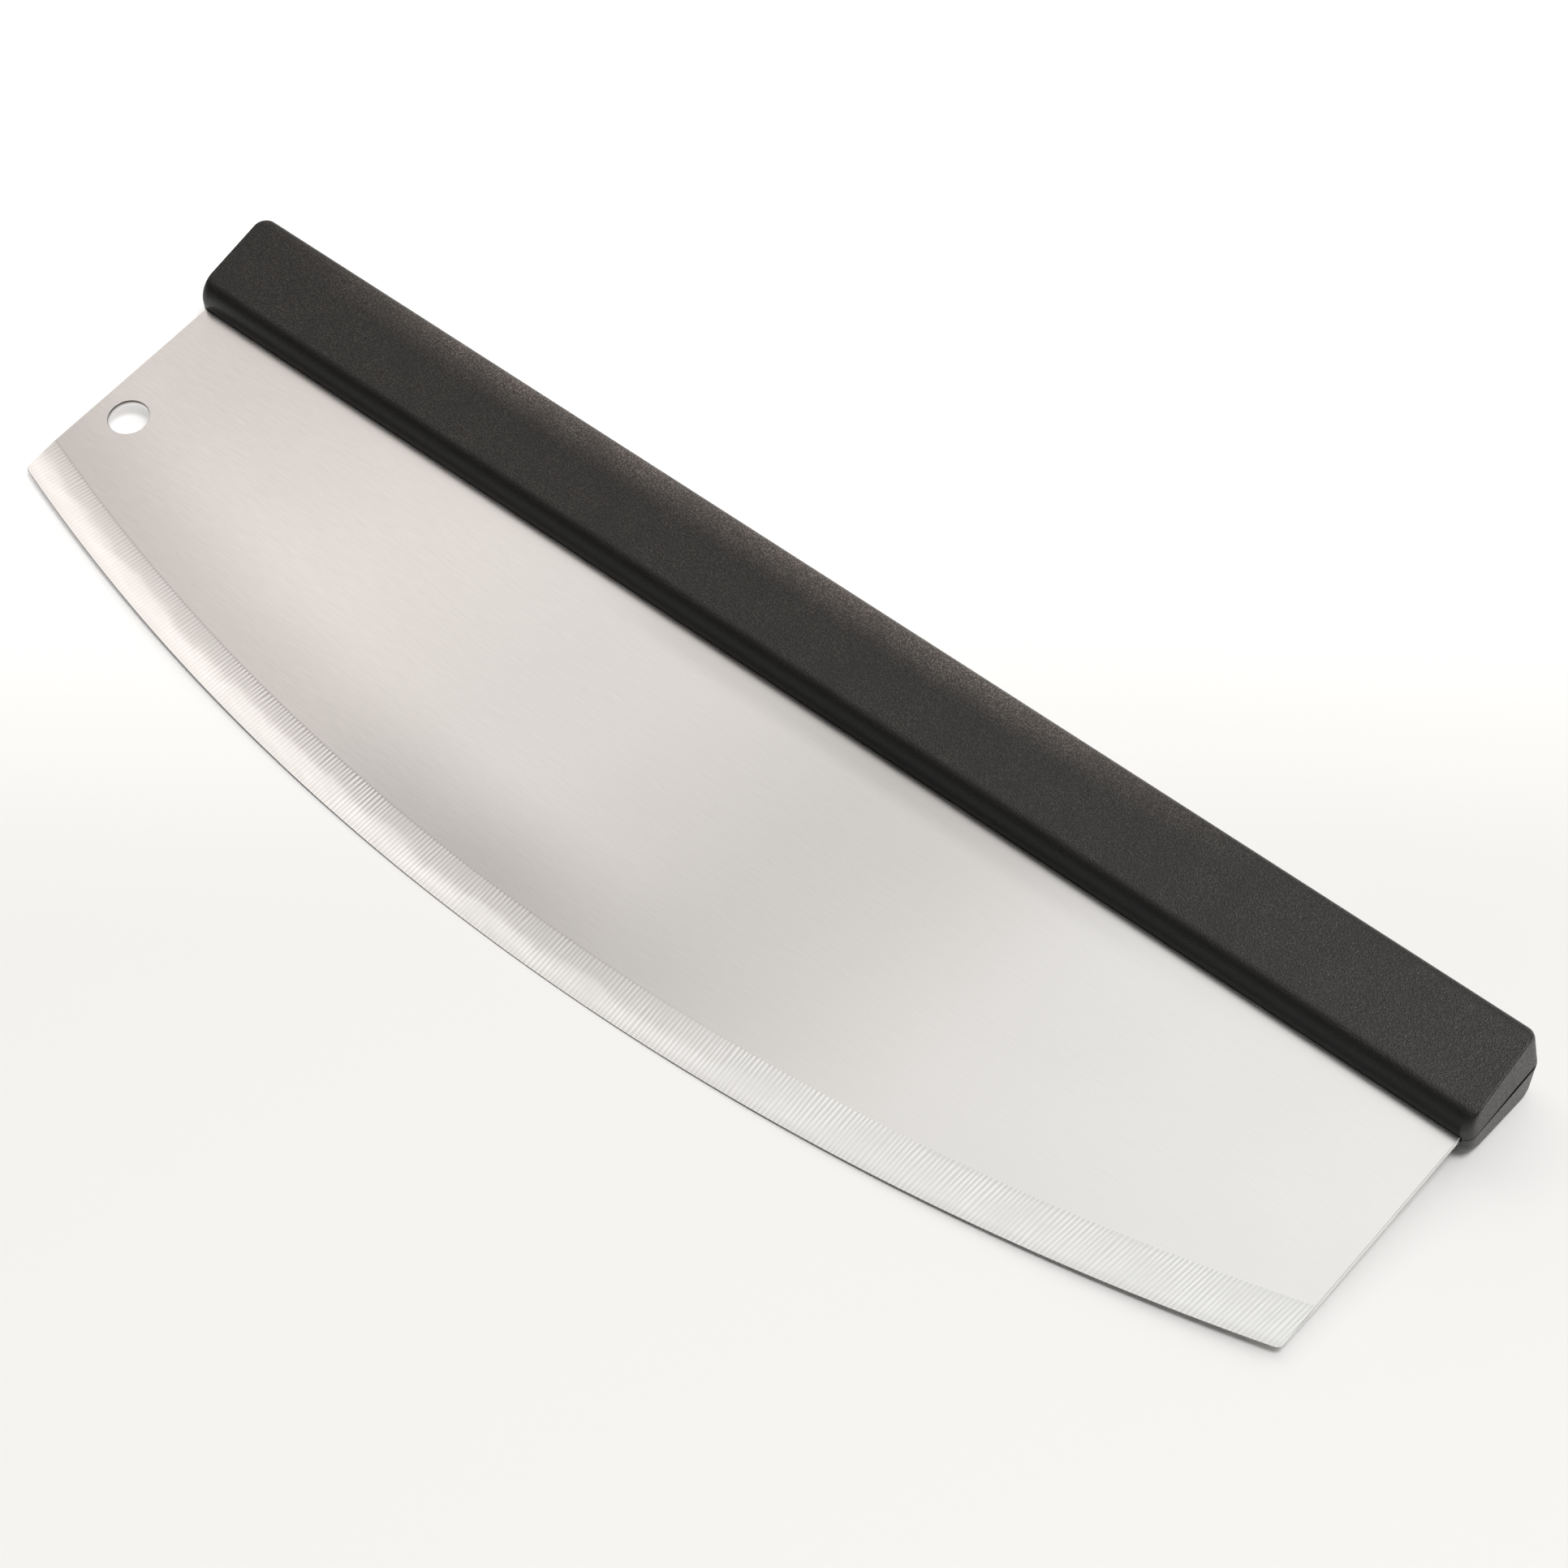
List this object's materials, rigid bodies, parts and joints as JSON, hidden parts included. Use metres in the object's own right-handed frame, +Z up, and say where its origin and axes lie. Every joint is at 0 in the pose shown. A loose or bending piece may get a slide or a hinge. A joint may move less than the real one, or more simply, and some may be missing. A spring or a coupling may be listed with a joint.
{
  "type": "pizza cutter",
  "caption": "Rocker pizza cutter: half-moon steel blade with a ground curved edge and a hang hole, held along its top by a full-length black moulded handle.",
  "frame": {"origin": "middle of the part's box, on the table that it lies on", "axes": "+X along the blade, away from the hang hole; +Y from the cutting edge to the spine of the handle; +Z up off the table"},
  "size_m": [0.3602, 0.1096, 0.0225],
  "materials": {
    "blade_steel": "brushed along the blade, ground across the cutting edge",
    "handle_plastic": "black with a fine moulded grain",
    "pin_steel": "plain drawn steel"
  },
  "bodies": {
    "root": {"blade": "blade_steel", "handle_front_half": "handle_plastic", "handle_back_half": "handle_plastic", "tang_pin_1": "pin_steel", "tang_pin_2": "pin_steel", "tang_pin_3": "pin_steel", "tang_pin_4": "pin_steel", "tang_pin_5": "pin_steel", "tang_pin_6": "pin_steel"}
  },
  "joints": []
}
